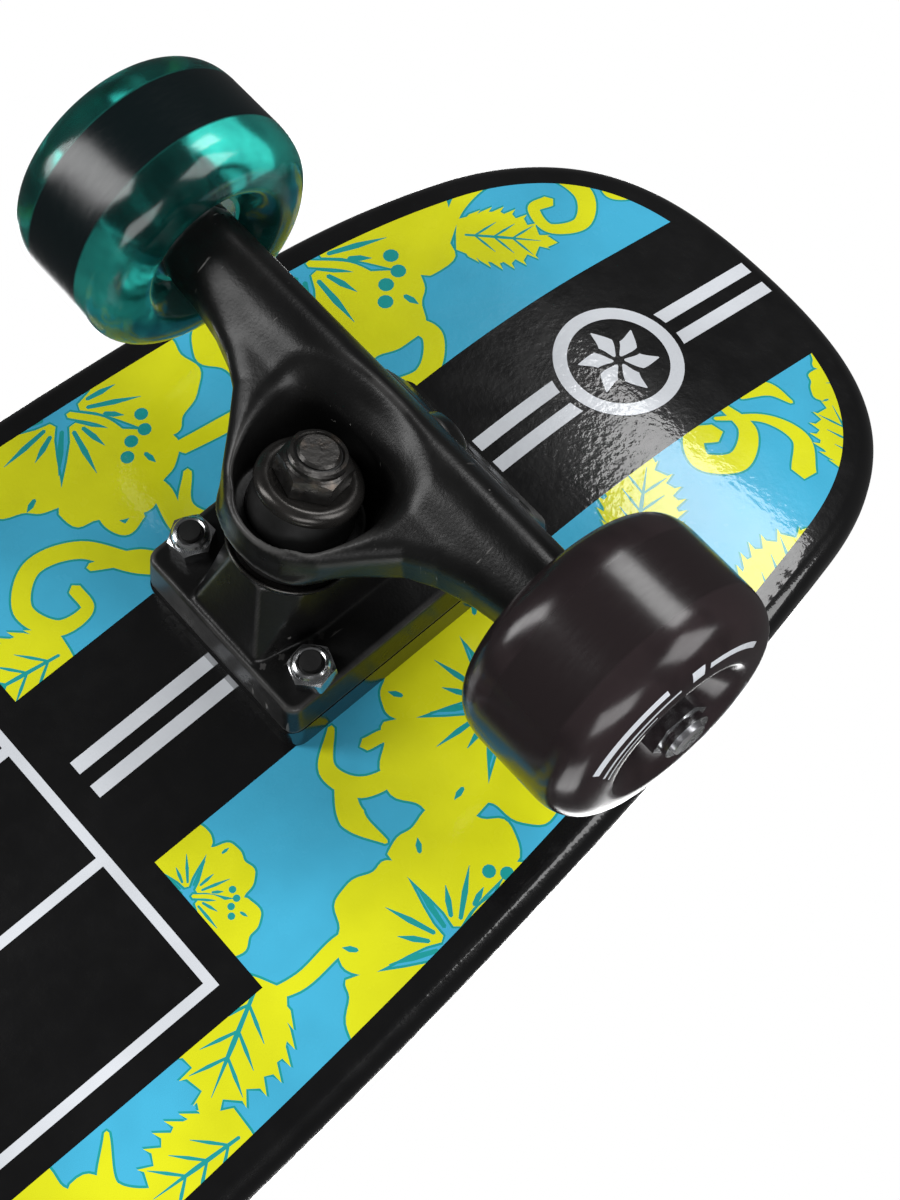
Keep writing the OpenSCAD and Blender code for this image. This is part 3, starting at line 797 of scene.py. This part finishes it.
class Field:
    """Signed distances on a grid, in millimetres, in the truck frame."""

    def __init__(self, lo, hi, step):
        self.step, self.lo = step, np.array(lo, float)
        axes = [np.arange(lo[i], hi[i] + step, step) for i in range(3)]
        self.x, self.y, self.z = np.meshgrid(*axes, indexing="ij")
        self.x, self.y, self.z = (a.astype(np.float32) for a in (self.x, self.y, self.z))

    def round_cone(self, a, b, ra, rb):
        a, b = np.array(a, float), np.array(b, float)
        d = b - a
        px, py, pz = self.x - a[0], self.y - a[1], self.z - a[2]
        t = np.clip((px * d[0] + py * d[1] + pz * d[2]) / (d @ d), 0, 1)
        r = ra + (rb - ra) * t
        return np.sqrt((px - t * d[0]) ** 2 + (py - t * d[1]) ** 2 + (pz - t * d[2]) ** 2) - r

    def rod(self, a, b, r, k=0.8):
        """A cylinder from a to b with softened ends."""
        a, b = np.array(a, float), np.array(b, float)
        length = np.linalg.norm(b - a)
        d = (b - a) / length
        px, py, pz = self.x - a[0], self.y - a[1], self.z - a[2]
        t = px * d[0] + py * d[1] + pz * d[2]
        radial = np.sqrt(np.maximum(px**2 + py**2 + pz**2 - t**2, 0)) - r
        return smax(radial, np.abs(t - length / 2) - length / 2, k)

    def pin(self, s0, s1, r, k=0.6):
        return self.rod(on_kingpin((0, 0, s0)), on_kingpin((0, 0, s1)), r, k)

    def along(self, s):
        """Distance along the kingpin past s."""
        c, sn = math.cos(KINGPIN_LEAN), math.sin(KINGPIN_LEAN)
        return (self.x - KINGPIN_SEAT[0]) * sn + (self.z - KINGPIN_SEAT[2]) * c - s

    def hull(self, points, k=1.0):
        """The convex solid round some points, its edges softened."""
        bm = bmesh.new()
        for p in points:
            bm.verts.new(p)
        bmesh.ops.convex_hull(bm, input=bm.verts)
        bm.normal_update()
        centre = np.mean(np.array(points, float), 0)
        planes = []
        for f in bm.faces:
            n = np.array(f.normal)
            d = n @ np.array(f.verts[0].co)
            if n @ centre > d:
                n, d = -n, -d
            if not any(np.allclose(n, m, atol=1e-3) and abs(d - e) < 1e-2 for m, e in planes):
                planes.append((n, d))
        bm.free()
        out = None
        for n, d in planes:
            v = (self.x * n[0] + self.y * n[1] + self.z * n[2] - d).astype(np.float32)
            out = v if out is None else smax(out, v, k)
        return out

    def outline(self, poly):
        """Distance to a polygon in plan, negative inside."""
        px, py = self.x[:, :, 0], self.y[:, :, 0]
        a = np.asarray(poly, float)
        b = np.roll(a, -1, 0)
        best = np.full(px.shape, 1e9)
        for (ax, ay), (bx, by) in zip(a, b):
            dx, dy = bx - ax, by - ay
            t = np.clip(((px - ax) * dx + (py - ay) * dy) / (dx * dx + dy * dy), 0, 1)
            best = np.minimum(best, (px - ax - t * dx) ** 2 + (py - ay - t * dy) ** 2)
        inside = winding(a, np.column_stack([px.ravel(), py.ravel()])).reshape(px.shape) != 0
        signed = np.sqrt(best) * np.where(inside, -1, 1)
        return np.broadcast_to(signed[:, :, None], self.x.shape).astype(np.float32)

    def plate(self, low, high, corner, k):
        """A round-cornered plate; low and high are its two x ends, half width and height."""
        up = (self.z - low[3]) / (high[3] - low[3])
        start, end, half = (low[i] + (high[i] - low[i]) * up for i in range(3))
        dx = np.abs(self.x - (start + end) / 2) - (end - start) / 2 + corner
        dy = np.abs(self.y) - half + corner
        wall = np.hypot(np.maximum(dx, 0), np.maximum(dy, 0)) + np.minimum(np.maximum(dx, dy), 0) - corner
        return smax(smax(wall, self.z - high[3], k), low[3] - self.z, 0.3)

    def surface(self, f):
        """Vertices, quads and normals of the zero level."""
        corner = [(i, j, k) for i in (0, 1) for j in (0, 1) for k in (0, 1)]
        size = np.array(f.shape) - 1
        cut = {c: f[c[0] : c[0] + size[0], c[1] : c[1] + size[1], c[2] : c[2] + size[2]] for c in corner}
        total = np.zeros((*size, 3), np.float32)
        count = np.zeros(size, np.int32)
        for a in corner:
            for axis in range(3):
                if a[axis]:
                    continue
                b = tuple(1 if i == axis else a[i] for i in range(3))
                fa, fb = cut[a], cut[b]
                hit = (fa < 0) != (fb < 0)
                t = np.where(hit, fa / np.where(hit, fa - fb, 1), 0)
                for i in range(3):
                    total[..., i] += np.where(hit, a[i] + (t if i == axis else 0), 0)
                count += hit
        live = count > 0
        index = np.full(size, -1, np.int64)
        index[live] = np.arange(live.sum())
        cell = np.argwhere(live)
        verts = self.lo + self.step * (cell + total[live] / count[live][:, None])
        quads = []
        for axis in range(3):
            u, v = [i for i in range(3) if i != axis]
            inner = [slice(1, -1)] * 3
            inner[axis] = slice(None)
            solid = np.moveaxis(f[tuple(inner)] < 0, axis, 0)
            a, b = (np.moveaxis(part, 0, axis) for part in (solid[:-1], solid[1:]))
            at = np.argwhere(a != b)
            enter = a[tuple(at.T)]
            ring = []
            for du, dv in ((1, 1), (0, 1), (0, 0), (1, 0)):
                c = at.copy()
                c[:, u] += du
                c[:, v] += dv
                ring.append(index[tuple(c.T)])
            q = np.stack(ring, 1)
            flip = enter if axis != 1 else ~enter
            q[~flip] = q[~flip][:, ::-1]
            quads.append(q)
        quads = np.concatenate(quads)
        g = np.stack(np.gradient(f), -1)
        p = (verts - self.lo) / self.step
        i0 = np.clip(p.astype(int), 0, np.array(f.shape) - 2)
        w = p - i0
        normals = np.zeros_like(verts)
        for c in corner:
            weight = np.prod([w[:, i] if c[i] else 1 - w[:, i] for i in range(3)], 0)
            normals += weight[:, None] * g[i0[:, 0] + c[0], i0[:, 1] + c[1], i0[:, 2] + c[2]]
        return verts, quads, normals


def cast_object(name, shape, end, mat):
    verts, quads, normals = shape
    flip, start = ([1, -1, -1], TAIL_X) if end == "tail" else ([-1, 1, -1], NOSE_X)
    return new_mesh(name, verts * flip + [start, 0, DECK_Z], quads, mat, normals=normals * flip)


HANGER_SIDE = (
    (1.9, 0), (2.1, 5), (3.8, 9.6), (9.0, 15.9), (15.6, 21.6),
    (22, 27.5), (25.6, 34), (28.2, 42), (29.8, 51), (30.4, 60))
POCKET_RIM = (
    (42.2, 3), (41.2, 9), (38.6, 14.2), (34.8, 18.4), (29.5, 21.0), (23.5, 20.2), (16.5, 18.0), (9.5, 13.5))
POCKET_FOOT = (
    (28.6, 2), (28.2, 5.5), (27, 8.5), (25, 10.8), (22.5, 12.0), (19.5, 12.3), (16.5, 12.0), (12.5, 10.0))


def pairs(*points):
    """Each point's mirror image in Y, then the point."""
    return [(x, s * y, z) for x, y, z in points for s in (-1, 1)]


def hanger_shape():
    g = Field((-6, -62.5, 22), (52, 62.5, 68), 0.6)
    tube = g.rod((AXLE_X, -60.3, AXLE_H), (AXLE_X, 60.3, AXLE_H), 9.0, 1.0)
    side = np.array(HANGER_SIDE, float)
    plan = np.concatenate([side, [(44, 60), (44, -60)], side[:0:-1] * [1, -1]])
    flat = g.outline(plan)
    slope = 0.268
    tilt = math.sqrt(1 + slope**2)
    top = (g.z - (53.4 + (g.x - 3) * slope)) / tilt
    low = (45.2 + np.maximum(0, 9 - g.x) * 0.12 - g.z)
    web = smax(smax(flat, top, 5.0), low, 3.5)
    body = smin(tube, web, 3.0)
    ring = g.pin(9, 16.4, 16.1, 0.8)
    under = g.hull(pairs((4, 13, 46), (30, 15, 36.5), (44, 12, 48), (30, 20, 50)), 3.0)
    body = smin(smin(body, ring, 1.5), under, 4.5)
    stem = g.round_cone((40, 0, 47), (49.7, 0, 31.2), 7.5, 4.4)
    body = smin(body, stem, 4.0)
    body = smin(body, g.round_cone((50.8, 0, 29), (50.2, 0, 30), 4.75, 4.6), 0.8)
    well = g.round_cone(on_kingpin((0, 0, 10)), on_kingpin((0, 0, 30)), 14.4, 15.4)
    shell = []
    for (tx, ty), (fx, fy) in zip(POCKET_RIM, POCKET_FOOT):
        for side_sign in (-1, 1):
            high = np.array((tx, side_sign * ty, 53.4 + (tx - 3) * slope))
            floor_point = np.array((fx, side_sign * fy, 42.0))
            shell += [tuple(floor_point), tuple(floor_point + 1.4 * (high - floor_point))]
    deep = g.hull(shell, 2.5)
    cover = g.rod((AXLE_X, -40, AXLE_H), (AXLE_X, 40, AXLE_H), 5.0, 1.0)
    pocket = smax(smin(well, deep, 3.5), -cover, 4.5)
    pocket = smax(pocket, -g.along(13.0), 0.8)
    soften = 1.0 + 1.8 * np.clip((g.x - 12) / 12, 0, 1)
    body = smax(body, -pocket, soften)
    body = smax(body, -g.pin(0, 30, 7.6, 0.1), 0.4)
    body = smax(body, -g.pin(-12, 9.0, 19.5, 0.4), 0.8)
    body = smax(body, -g.rod((AXLE_X, -80, AXLE_H), (AXLE_X, 80, AXLE_H), 4.0, 0.1), 0.3)
    return g.surface(body)


def baseplate_shape():
    g = Field((-14, -28.5, 6.5), (68, 28.5, 46), 0.5)
    plate = g.plate((-11.6, 65.0, 26.0, 8.0), (-10.1, 60.8, 25.6, FLANGE_TOP), 3.2, 1.1)
    top = [on_kingpin((*p, 0)) for p in (
        (-12.2, -4.8), (-12.2, 4.8), (-5, 11.5), (6, 12.5), (12, 6), (12, -6), (6, -12.5), (-5, -11.5))]
    foot = [(*p, 16) for p in (
        (-9.3, -11), (-9.3, 11), (8, 14.8), (30, 15), (42, 10), (42, -10), (30, -15), (8, -14.8))]
    boss = g.hull(top + foot, 0.45)
    socket_dir = np.array((-math.sin(math.radians(45)), 0, math.cos(math.radians(45))))
    ball = np.array((50.8, 0, 29.0))
    low, high = ball - socket_dir * 6.2, ball + socket_dir * 1.0
    cup = smax(g.rod(low, high, 7.2, 0.8), g.x - 59.0, 1.5)
    web = g.hull(pairs((36, 12, 16), (59.5, 10, 16), (46, 7, 24), (58, 6, 25)), 1.2)
    outer = g.hull(pairs((45, 25.3, 16), (61.1, 25.3, 16), (45, 24.9, 20.6), (59.8, 24.8, 20.6)), 0.9)
    inner = g.hull(pairs((36, 23.7, 17), (59.1, 23.7, 17), (36, 23.3, 30), (57.7, 23.3, 30)), 0.8)
    body = smin(smin(plate, boss, 0.9), smin(cup, web, 1.6), 1.2)
    body = smin(body, smax(outer, -inner, 0.4), 0.5)
    body = smax(body, -g.rod(ball - socket_dir * 5.2, ball + socket_dir * 20, 6.0, 0.1), 0.3)
    body = smax(body, -g.pin(-60, 10, 4.9, 0.1), 0.3)
    for x in (0, BOLT_X):
        for s in (-1, 1):
            body = smax(body, -g.rod((x, s * BOLT_Y, 0), (x, s * BOLT_Y, 40), 2.7, 0.1), 0.3)
    body = smax(body, 8.0 - g.z, 0.3)
    return g.surface(body)


# ------ nuts and other turned parts
def hex_ring(flats, height, bore):
    """A hexagon with a bore and a chamfered top, from 0 to height along z."""
    verts = []
    n = 96
    for i in range(n):
        a = 2 * math.pi * i / n
        corner = flats / 2 / math.cos((a % (math.pi / 3)) - math.pi / 6)
        crown = min(corner, flats / 2 * 0.98)
        drop = (corner - crown) * 0.62
        c, s = math.cos(a), math.sin(a)
        ring = ((bore, 0), (corner - 0.15, 0), (corner, 0.15), (corner, height - drop),
                (crown, height), (bore, height))
        verts += [(r * c, r * s, z) for r, z in ring]
    return verts, ring_faces(n, len(ring))


def join(parts):
    """One vertex and face list from several, with a material index each."""
    verts, faces, mats = [], [], []
    for v, f, m in parts:
        base = len(verts)
        verts += list(v)
        faces += [tuple(i + base for i in q) for q in f]
        mats += [m] * len(f)
    return verts, faces, mats


def spin(parts, degrees, place):
    """Each (vertices, faces, material) part turned about z, then placed."""
    c, s = math.cos(math.radians(degrees)), math.sin(math.radians(degrees))
    return [([place((a * c - b * s, a * s + b * c, z)) for a, b, z in v], f, m) for v, f, m in parts]


def make_lock_nuts(end):
    place = truck_to_row(end)
    collar = [(3.0, 3.9), (4.25, 3.9), (4.25, 5.2), (3.9, 5.8), (3.35, 6.1), (2.95, 5.95), (3.0, 5.2)]
    nylon = [(2.42, 4.5), (3.3, 4.5), (3.3, 5.45), (2.42, 5.6)]
    nut = [(*hex_ring(9.53, 4.3, 2.42), 0), (*lathe(collar, 64), 0), (*lathe(nylon, 64), 1)]
    parts = []
    for i, (x, y) in enumerate(((0, -BOLT_Y), (0, BOLT_Y), (BOLT_X, -BOLT_Y), (BOLT_X, BOLT_Y))):
        parts += spin(nut, 11 + 23 * i, lambda v: place((x + v[0], y + v[1], FLANGE_TOP + v[2])))
    verts, faces, mats = join(parts)
    nuts = new_mesh(end + "_lock_nut_set", verts, faces, [ZINC, NYLON], mats, sharp=28)
    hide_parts(end + "_lock_nuts")
    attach(nuts, "board")


def make_kingpin_nut(end):
    place = truck_to_row(end)
    collar = [(5.0, 5.4), (7.05, 5.4), (7.05, 6.0), (6.6, 6.4),
              (6.6, 7.3), (6.2, 7.9), (5.5, 8.1), (5.15, 7.6)]
    nylon = [(4.78, 6.4), (5.3, 6.4), (5.3, 7.5), (4.78, 7.7)]
    parts = [(*hex_ring(14.3, 5.9, 4.78), 0), (*lathe(collar, 96), 0), (*lathe(nylon, 96), 1)]
    done = spin(parts, 14, lambda v: place(on_kingpin((v[0], v[1], NUT_SEAT + v[2]))))
    verts, faces, mats = join(done)
    nut = new_mesh(end + "_kingpin_lock_nut", verts, faces, [OXIDE, NYLON], mats, sharp=28)
    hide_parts(end + "_kingpin_nut")
    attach(nut, "board")


def arc(cx, cz, r, a0, a1, n):
    return [polar(cx, cz, r, a) for a in np.radians(np.linspace(a0, a1, n))]


def make_bushing_stack(end):
    place = truck_to_row(end)
    kp = lambda v: place(on_kingpin(v))
    upper = [(5.1, 13.05), (11.7, 13.05), (12.0, 13.6)]
    upper += [(12.0 - 1.7 * t**1.6, 13.6 + 8.6 * t) for t in np.linspace(0.1, 1, 8)]
    upper += [(9.6, 22.85), (5.1, 22.85)]
    lower = [(5.1, 1.5), (11.2, 1.5)]
    lower += [(11.6 + 0.9 * math.sin(math.pi * t), 1.9 + 6.6 * t) for t in np.linspace(0, 1, 9)]
    lower += [(11.2, 8.95), (5.1, 8.95)]
    cup_top = [(5.0, NUT_SEAT), (8.1, 24.35)] + arc(9.6, 22.5, 2.3, 112, -12, 14)
    cup_top += arc(11.55, 21.9, 0.3, -20, -150, 4) + [(11.0, 22.3), (10.4, 22.9), (5.0, 23.0)]
    cup_low = [(5.0, 0.0), (11.2, 0.0)] + arc(12.2, 1.3, 1.3, -80, -5, 5) + [(14.0, 1.9)]
    cup_low += arc(13.7, 2.2, 0.35, -20, 160, 6) + [(12.4, 1.5), (5.0, 1.4)]
    for name, profile, mat, node, slot, seat, far in (
        ("top_bushing", upper, URETHANE_BLACK, "_upper_bushing", "bushing_urethane", 13.05, 22.85),
        ("bottom_bushing", lower, URETHANE_BLACK, "_lower_bushing", "bushing_urethane", 8.95, 1.5),
        ("top_cup_washer", cup_top, WASHER, "_upper_cup_washer", "black_steel", None, None),
        ("bottom_cup_washer", cup_low, WASHER, "_lower_cup_washer", "black_steel", None, None),
    ):
        obj = turned(end + "_" + name, profile, kp, mat, sharp=35)
        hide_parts(end + node)
        if seat is None:
            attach(obj, "board")
        else:
            at_seat, at_washer = (Vector(kp((0, 0, s))) * MM for s in (seat, far))
            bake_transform(obj)


def make_wheel(end, side):
    y = -WHEEL_Y if side == "left" else WHEEL_Y
    x = TAIL_X + AXLE_X if end == "tail" else NOSE_X - AXLE_X
    out = 1 if side == "right" else -1
    place = lambda v: (x + v[0], y + out * v[2], WHEEL_R + out * v[1])
    half = WHEEL_W / 2
    lip = []
    for a in np.linspace(0, math.pi / 2, 26):
        along = math.sin(a) ** 0.8
        r = WHEEL_R - LIP_DROP + LIP_DROP * math.cos(a) ** 0.8 - 0.5 * along * math.cos(a)
        lip.append((r, TREAD_W / 2 + (half - TREAD_W / 2) * along))
    hub = [(17.4, half - 0.25), (16.6, half - 0.8), (15.2, half - 2.1), (13.9, half - 3.9),
           (12.7, HUB_HALF + 1.0), (12.1, HUB_HALF), (11.03, HUB_HALF), (11.03, 5.02), (8.2, 5.02)]
    tread = [(WHEEL_R, z) for z in np.linspace(-TREAD_W / 2 + 3, TREAD_W / 2 - 3, 4)]
    mirror = lambda pts: [(r, -z) for r, z in pts[::-1]]
    profile = tread + lip + hub + mirror(hub) + mirror(lip)
    mat = TEAL if side == "left" else SMOKE
    body = f"{end}_{side}_wheel_set"
    wheel = turned(f"{end}_{side}_tyre", profile, place, mat, sharp=50, n=192)
    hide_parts(f"{end}_{side}_wheel")
    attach(wheel, body)
    parts = []
    marks = ((24.0, 25.3, 28, 82), (21.9, 22.5, 24, 88), (20.3, 20.7, 20, 70),
             (21.6, 24.4, 96, 104), (22.2, 23.6, 108, 150))
    bands = [(r0, r1, a0 + turn, a1 + turn) for turn in (180, 0) for r0, r1, a0, a1 in marks]
    lip_at = lambda r: float(np.interp(r, [p[0] for p in lip[::-1]], [p[1] for p in lip[::-1]])) + 0.05
    for r0, r1, a0, a1 in bands:
        verts, faces = [], []
        steps = max(6, int((a1 - a0) / 2))
        for i in range(steps + 1):
            a = math.radians(a0 + (a1 - a0) * i / steps)
            for k in range(4):
                r = r0 + (r1 - r0) * k / 3
                verts.append((r * math.cos(a), r * math.sin(a), lip_at(r)))
        for i in range(steps):
            for k in range(3):
                faces.append((i * 4 + k, i * 4 + k + 1, i * 4 + k + 5, i * 4 + k + 4))
        parts.append(([place(v) for v in verts], faces, 0))
    verts, faces, mats = join(parts)
    mark = new_mesh(f"{end}_{side}_wheel_print", verts, faces, INK_WHITE, mats)
    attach(mark, body)


# ------ everything made
make_deck()
make_print()
make_grip()
hanger = hanger_shape()
baseplate = baseplate_shape()
for end in ("tail", "nose"):
    for piece, shape, body in (("hanger", hanger, end + "_truck_hanger"), ("baseplate", baseplate, "board")):
        cast = cast_object(f"{end}_cast_{piece}", shape, end, PAINT)
        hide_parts(f"{end}_{piece}")
        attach(cast, body)
    make_lock_nuts(end)
    make_kingpin_nut(end)
    make_bushing_stack(end)
    for side in ("left", "right"):
        make_wheel(end, side)

FINISHES = (
    ("riser_pad", RISER), ("pivot_cup", SEAL), ("kingpin", OXIDE), ("mounting_bolts", BOLT),
    ("axle_nuts", ZINC), ("axle", STEEL), ("speed_washers", ZINC), ("outer_races", STEEL),
    ("inner_races", STEEL), ("balls", STEEL), ("cages", SEAL), ("shields", SEAL), ("spacer", STEEL),
)
for name, obj in nodes.items():
    for ending, mat in FINISHES:
        if name.endswith("_" + ending):
            for slot in obj.material_slots:
                slot.material = mat
            if not obj.material_slots:
                obj.data.materials.append(mat)

# ------ floor, light and camera
def studio_paper():
    """White paper that is clear from below, where the camera is."""
    s = Shade("studio_paper")
    grain = add_node(s.tree, "TexNoise", Scale=40).outputs["Fac"]
    s.color(s.ramp(grain, 0, 1, 0.44, 0.46))
    s.set(Roughness=0.9, Specular_IOR_Level=0.0, Emission_Color=(1, 1, 1, 1), Emission_Strength=0.5)
    below = add_node(s.tree, "NewGeometry").outputs["Backfacing"]
    clear = add_node(s.tree, "BsdfTransparent")
    pick = add_node(s.tree, "MixShader")
    for socket, source in enumerate((below, s.bsdf.outputs[0], clear.outputs[0])):
        s.link(source, pick.inputs[socket])
    s.link(pick.outputs[0], s.tree.nodes["Material Output"].inputs["Surface"])
    return s.mat


FLOOR = 40
floor_mesh = bpy.data.meshes.new("studio_floor")
floor_mesh.from_pydata(
    [(-FLOOR, -FLOOR, 0), (FLOOR, -FLOOR, 0), (FLOOR, FLOOR, 0), (-FLOOR, FLOOR, 0)], [], [(0, 1, 2, 3)])
floor = bpy.data.objects.new("studio_floor", floor_mesh)
scene.collection.objects.link(floor)
floor.visible_shadow = False
floor.visible_glossy = False
floor.visible_diffuse = False
floor.visible_transmission = False
floor_mesh.materials.append(studio_paper())

world = bpy.data.worlds.new("studio")
scene.world = world
world.use_nodes = True
sky = world.node_tree
dim = set_inputs(sky.nodes["Background"], Color=(1, 1, 1, 1), Strength=0.07)
bright = add_node(sky, "Background", Color=(1, 1, 1, 1), Strength=1.0)
rays = add_node(sky, "LightPath")
straight = add_node(sky, "Math")
straight.operation = "MAXIMUM"
sky.links.new(rays.outputs["Is Camera Ray"], straight.inputs[0])
sky.links.new(rays.outputs["Is Transmission Ray"], straight.inputs[1])
blend = add_node(sky, "MixShader")
for socket, source in enumerate((straight, dim, bright)):
    sky.links.new(source.outputs[0], blend.inputs[socket])
sky.links.new(blend.outputs[0], sky.nodes["World Output"].inputs["Surface"])
scene.view_settings.view_transform = "Standard"


def softbox(name, place, target, width, height, watts):
    light = bpy.data.lights.new(name, "AREA")
    light.shape = "RECTANGLE"
    light.size, light.size_y = width, height
    light.energy = watts
    obj = bpy.data.objects.new(name, light)
    scene.collection.objects.link(obj)
    obj.location = place
    obj.rotation_mode = "QUATERNION"
    obj.rotation_quaternion = (Vector(target) - Vector(place)).to_track_quat("-Z", "Y")


RIGHT = Vector((0.7519, 0.6585, 0.0319))
UP = Vector((0.6158, -0.6843, -0.3905))
BACK = Vector((-0.2353, 0.3132, -0.9201))
CAMERA = Vector((0.0981, 0.1990, -0.4366))
centre = Vector((0.2, 0.0, 0.06))


def from_camera(right, up, back):
    return centre + RIGHT * right + UP * up + BACK * back


softbox("kick_light", (0.88, -0.13, -0.68), (0.29, 0.03, 0.09), 0.34, 0.34, 3)
softbox("left_light", from_camera(-0.9, 0.35, 0.55), centre, 0.3, 0.9, 6.5)
softbox("front_light", from_camera(0.1, -0.75, 0.95), centre, 0.9, 0.5, 7)
softbox("right_light", from_camera(1.0, 0.15, 0.75), centre, 0.7, 0.9, 10)
softbox("sky_light", (0.2, -0.5, 1.8), (0, 0, 0), 1.6, 1.6, 34)
softbox("sky_fill", (-1.4, 1.2, 1.3), (0, 0, 0), 1.2, 1.2, 16)

cam_data = bpy.data.cameras.new("photo_camera")
cam_data.lens = 75
cam_data.sensor_width = 36
cam_data.sensor_fit = "AUTO"
cam_data.clip_start = 0.01
cam = bpy.data.objects.new("photo_camera", cam_data)
scene.collection.objects.link(cam)
turned_to = Matrix((RIGHT, UP, BACK)).transposed().to_4x4()
cam.matrix_world = Matrix.Translation(CAMERA) @ turned_to
scene.camera = cam
